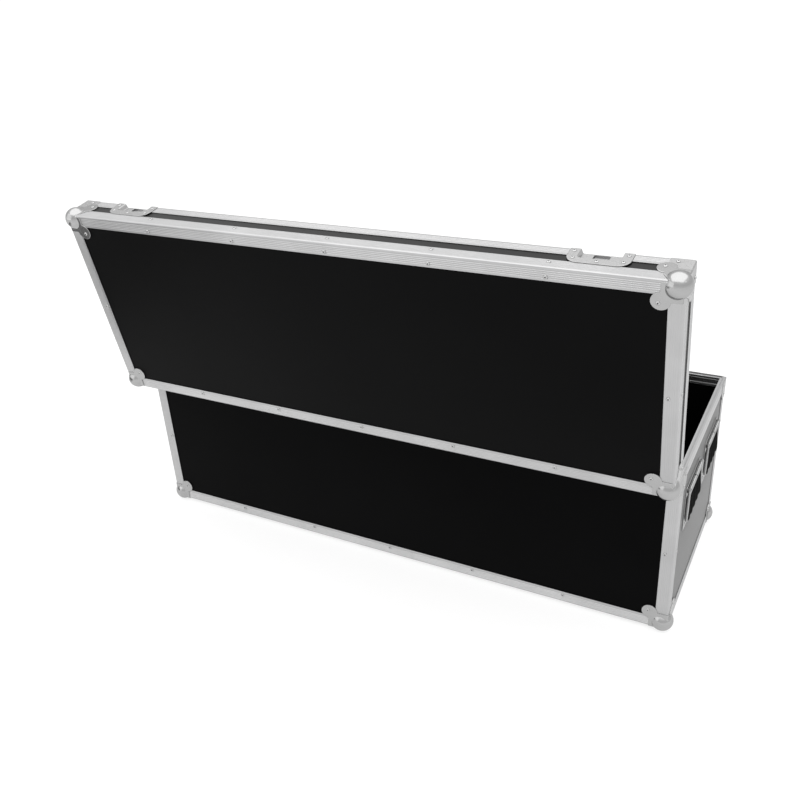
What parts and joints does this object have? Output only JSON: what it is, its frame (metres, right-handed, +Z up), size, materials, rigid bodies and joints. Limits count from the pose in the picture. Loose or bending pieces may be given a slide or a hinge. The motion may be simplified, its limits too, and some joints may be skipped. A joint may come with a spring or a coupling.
{
  "type": "flight case",
  "caption": "Long flight case with aluminium edge angles, ball corners, an open hinged lid on stop hinges, butterfly latches and sprung end handles.",
  "frame": {"origin": "on the floor plane of the ball feet, under the middle of the base", "axes": "+X along the length, -Y the latch side (front), +Y the hinge side, +Z up; the lid is open on its stop"},
  "size_m": [1.502, 0.7151, 0.9546],
  "materials": {
    "panel_laminate": "plywood board with a fine-grained black laminate, satin",
    "edge_aluminium": "mill-finish extrusion with fine lengthwise flutes",
    "plated_steel": "zinc-plated pressed steel, smooth",
    "latch_steel": "zinc-plated steel, polished by use",
    "pin_steel": "drawn steel pin",
    "spring_steel": "close-wound spring wire, plated",
    "rivet_steel": "domed rivet with a dark centre",
    "grip_rubber": "moulded black rubber, matte"
  },
  "bodies": {
    "base": {"base_bottom_panel": "panel_laminate", "base_front_panel": "panel_laminate", "base_rear_panel": "panel_laminate", "base_left_panel": "panel_laminate", "base_right_panel": "panel_laminate", "base_bottom_edge_front": "edge_aluminium", "base_bottom_edge_rear": "edge_aluminium", "base_bottom_edge_left": "edge_aluminium", "base_bottom_edge_right": "edge_aluminium", "base_corner_posts": "edge_aluminium", "base_rim_front": "edge_aluminium", "base_rim_rear": "edge_aluminium", "base_rim_left": "edge_aluminium", "base_rim_right": "edge_aluminium", "base_ball_corners": "plated_steel", "base_corner_braces": "plated_steel", "base_rivets": "rivet_steel", "hinge_base_leaves": "plated_steel", "hinge_pins": "pin_steel", "latch_left_dish": "plated_steel", "latch_right_dish": "plated_steel", "handle_plates": "plated_steel", "handle_rods": "pin_steel", "handle_springs": "spring_steel"},
    "lid": {"lid_top_panel": "panel_laminate", "lid_front_panel": "panel_laminate", "lid_rear_panel": "panel_laminate", "lid_left_panel": "panel_laminate", "lid_right_panel": "panel_laminate", "lid_top_edge_front": "edge_aluminium", "lid_top_edge_rear": "edge_aluminium", "lid_top_edge_left": "edge_aluminium", "lid_top_edge_right": "edge_aluminium", "lid_corner_posts": "edge_aluminium", "lid_rim_front": "edge_aluminium", "lid_rim_rear": "edge_aluminium", "lid_rim_left": "edge_aluminium", "lid_rim_right": "edge_aluminium", "lid_ball_corners": "plated_steel", "lid_corner_braces": "plated_steel", "lid_rivets": "rivet_steel", "hinge_lid_leaves": "plated_steel", "latch_left_keeper": "plated_steel", "latch_right_keeper": "plated_steel"},
    "latch_left_spindle": {"latch_left_spindle": "latch_steel"},
    "latch_left_wing": {"latch_left_wing": "latch_steel"},
    "latch_left_hook": {"latch_left_hook": "latch_steel"},
    "latch_right_spindle": {"latch_right_spindle": "latch_steel"},
    "latch_right_wing": {"latch_right_wing": "latch_steel"},
    "latch_right_hook": {"latch_right_hook": "latch_steel"},
    "handle_left_front": {"handle_left_front_bail": "plated_steel", "handle_left_front_grip": "grip_rubber"},
    "handle_left_rear": {"handle_left_rear_bail": "plated_steel", "handle_left_rear_grip": "grip_rubber"},
    "handle_right_front": {"handle_right_front_bail": "plated_steel", "handle_right_front_grip": "grip_rubber"},
    "handle_right_rear": {"handle_right_rear_bail": "plated_steel", "handle_right_rear_grip": "grip_rubber"}
  },
  "joints": [
    {"name": "lid_hinge", "type": "hinge", "parent": "base", "child": "lid", "pos_m": [0, 0.2645, 0.44], "axis": [1, 0, 0], "range_deg": [0, 100.5]},
    {"name": "latch_left_turn", "type": "hinge", "parent": "base", "child": "latch_left_spindle", "pos_m": [-0.571, -0.2551, 0.404], "axis": [0, 1, 0], "range_deg": [0, 180]},
    {"name": "latch_left_draw", "type": "slide", "parent": "base", "child": "latch_left_hook", "axis": [0, 0.3487, -0.9372], "range_m": [0, 0.00918]},
    {"name": "latch_left_fold", "type": "hinge", "parent": "latch_left_spindle", "child": "latch_left_wing", "pos_m": [-0.571, -0.2589, 0.404], "axis": [-1, 0, 0], "range_deg": [0, 90]},
    {"name": "latch_right_turn", "type": "hinge", "parent": "base", "child": "latch_right_spindle", "pos_m": [0.571, -0.2551, 0.404], "axis": [0, 1, 0], "range_deg": [0, 180]},
    {"name": "latch_right_draw", "type": "slide", "parent": "base", "child": "latch_right_hook", "axis": [0, 0.3487, -0.9372], "range_m": [0, 0.00918]},
    {"name": "latch_right_fold", "type": "hinge", "parent": "latch_right_spindle", "child": "latch_right_wing", "pos_m": [0.571, -0.2589, 0.404], "axis": [-1, 0, 0], "range_deg": [0, 90]},
    {"name": "handle_left_front_swing", "type": "hinge", "parent": "base", "child": "handle_left_front", "pos_m": [-0.745, -0.107, 0.352], "axis": [0, 1, 0], "range_deg": [0, 90], "stiffness_Nm_per_rad": 0.3, "springref_deg": -20.05},
    {"name": "handle_left_rear_swing", "type": "hinge", "parent": "base", "child": "handle_left_rear", "pos_m": [-0.745, 0.107, 0.352], "axis": [0, 1, 0], "range_deg": [0, 90], "stiffness_Nm_per_rad": 0.3, "springref_deg": -20.05},
    {"name": "handle_right_front_swing", "type": "hinge", "parent": "base", "child": "handle_right_front", "pos_m": [0.745, -0.107, 0.352], "axis": [0, -1, 0], "range_deg": [0, 90], "stiffness_Nm_per_rad": 0.3, "springref_deg": -20.05},
    {"name": "handle_right_rear_swing", "type": "hinge", "parent": "base", "child": "handle_right_rear", "pos_m": [0.745, 0.107, 0.352], "axis": [0, -1, 0], "range_deg": [0, 90], "stiffness_Nm_per_rad": 0.3, "springref_deg": -20.05}
  ],
  "couplings": [
    {"joint": "latch_left_turn", "follows": "latch_left_draw", "rad_per_m": 342.35},
    {"joint": "latch_right_turn", "follows": "latch_right_draw", "rad_per_m": 342.35}
  ]
}
